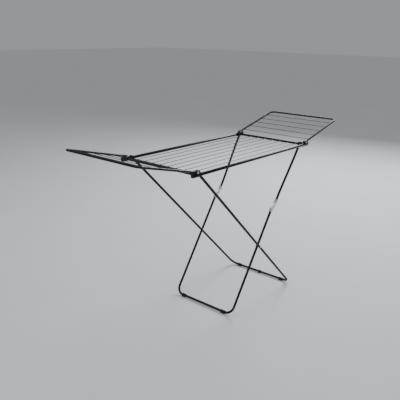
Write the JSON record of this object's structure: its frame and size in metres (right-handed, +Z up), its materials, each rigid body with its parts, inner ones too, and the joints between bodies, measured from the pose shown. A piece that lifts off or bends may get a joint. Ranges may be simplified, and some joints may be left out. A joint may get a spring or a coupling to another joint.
{
  "type": "clothes drying rack",
  "caption": "Folding winged clothes airer: a wire deck on two rails, a hinged wing at each end and crossed tube legs, the inner pair with a folding knee.",
  "frame": {"origin": "on the floor, under the middle of the deck", "axes": "+X along the deck to the end whose legs break at a knee, +Y across the deck, +Z up"},
  "size_m": [1.9912, 0.5762, 1.1544],
  "materials": {
    "powder_coat": "satin black powder coat",
    "coated_wire": "satin black coated wire",
    "moulded_plastic": "fine-textured black moulded plastic",
    "zinc_plate": "bright zinc plate"
  },
  "bodies": {
    "deck": {"corner_bracket_left_far": "moulded_plastic", "corner_bracket_left_near": "moulded_plastic", "corner_bracket_right_far": "moulded_plastic", "corner_bracket_right_near": "moulded_plastic", "deck_crossbar_left": "powder_coat", "deck_crossbar_right": "powder_coat", "deck_rail_far": "powder_coat", "deck_rail_near": "powder_coat", "deck_wire_1": "coated_wire", "deck_wire_2": "coated_wire", "deck_wire_3": "coated_wire", "deck_wire_4": "coated_wire", "deck_wire_5": "coated_wire", "deck_wire_6": "coated_wire", "deck_wire_7": "coated_wire", "deck_wire_8": "coated_wire"},
    "outer_leg": {"crossing_rivet_outer_far": "zinc_plate", "crossing_rivet_outer_near": "zinc_plate", "outer_leg_eye_far": "moulded_plastic", "outer_leg_eye_near": "moulded_plastic", "outer_leg_foot_centre": "moulded_plastic", "outer_leg_foot_far": "moulded_plastic", "outer_leg_foot_near": "moulded_plastic", "outer_leg_frame": "powder_coat"},
    "inner_leg_upper": {"inner_leg_upper_eye_far": "moulded_plastic", "inner_leg_upper_eye_near": "moulded_plastic", "inner_leg_upper_tube_far": "powder_coat", "inner_leg_upper_tube_near": "powder_coat", "knee_upper_yoke_far": "zinc_plate", "knee_upper_yoke_near": "zinc_plate"},
    "inner_leg_lower": {"crossing_rivet_inner_far": "zinc_plate", "crossing_rivet_inner_near": "zinc_plate", "inner_leg_foot_far": "moulded_plastic", "inner_leg_foot_near": "moulded_plastic", "inner_leg_lower_frame": "powder_coat", "knee_lower_yoke_far": "zinc_plate", "knee_lower_yoke_near": "zinc_plate", "knee_rivet_far": "zinc_plate", "knee_rivet_near": "zinc_plate"},
    "wing_left": {"wing_left_fitting_far": "moulded_plastic", "wing_left_fitting_near": "moulded_plastic", "wing_left_frame": "powder_coat", "wing_left_pivot_pin_far": "zinc_plate", "wing_left_pivot_pin_near": "zinc_plate", "wing_left_wire_1": "coated_wire", "wing_left_wire_2": "coated_wire", "wing_left_wire_3": "coated_wire", "wing_left_wire_4": "coated_wire", "wing_left_wire_5": "coated_wire"},
    "wing_right": {"wing_right_fitting_far": "moulded_plastic", "wing_right_fitting_near": "moulded_plastic", "wing_right_frame": "powder_coat", "wing_right_pivot_pin_far": "zinc_plate", "wing_right_pivot_pin_near": "zinc_plate", "wing_right_wire_1": "coated_wire", "wing_right_wire_2": "coated_wire", "wing_right_wire_3": "coated_wire", "wing_right_wire_4": "coated_wire", "wing_right_wire_5": "coated_wire"}
  },
  "joints": [
    {"name": "leg_fold", "type": "hinge", "parent": "deck", "child": "outer_leg", "pos_m": [-0.534, 0, 1.034], "axis": [0, -1, 0], "range_deg": [0, 43.1]},
    {"name": "inner_leg_fold", "type": "hinge", "parent": "deck", "child": "inner_leg_upper", "pos_m": [0.534, 0, 1.034], "axis": [0, 1, 0], "range_deg": [0, 57.5]},
    {"name": "knee_fold", "type": "hinge", "parent": "inner_leg_upper", "child": "inner_leg_lower", "pos_m": [0.27868, 0, 0.64234], "axis": [0, -1, 0], "range_deg": [0, 179.5]},
    {"name": "wing_left_fold", "type": "hinge", "parent": "deck", "child": "wing_left", "pos_m": [-0.562, 0, 1.0422], "axis": [0, 1, 0], "range_deg": [0, 160]},
    {"name": "wing_right_fold", "type": "hinge", "parent": "deck", "child": "wing_right", "pos_m": [0.562, 0, 1.0422], "axis": [0, -1, 0], "range_deg": [0, 160]}
  ],
  "couplings": [
    {"joint": "inner_leg_fold", "follows": "leg_fold", "ratio": 1.3336},
    {"joint": "knee_fold", "follows": "leg_fold", "ratio": 4.1621}
  ]
}
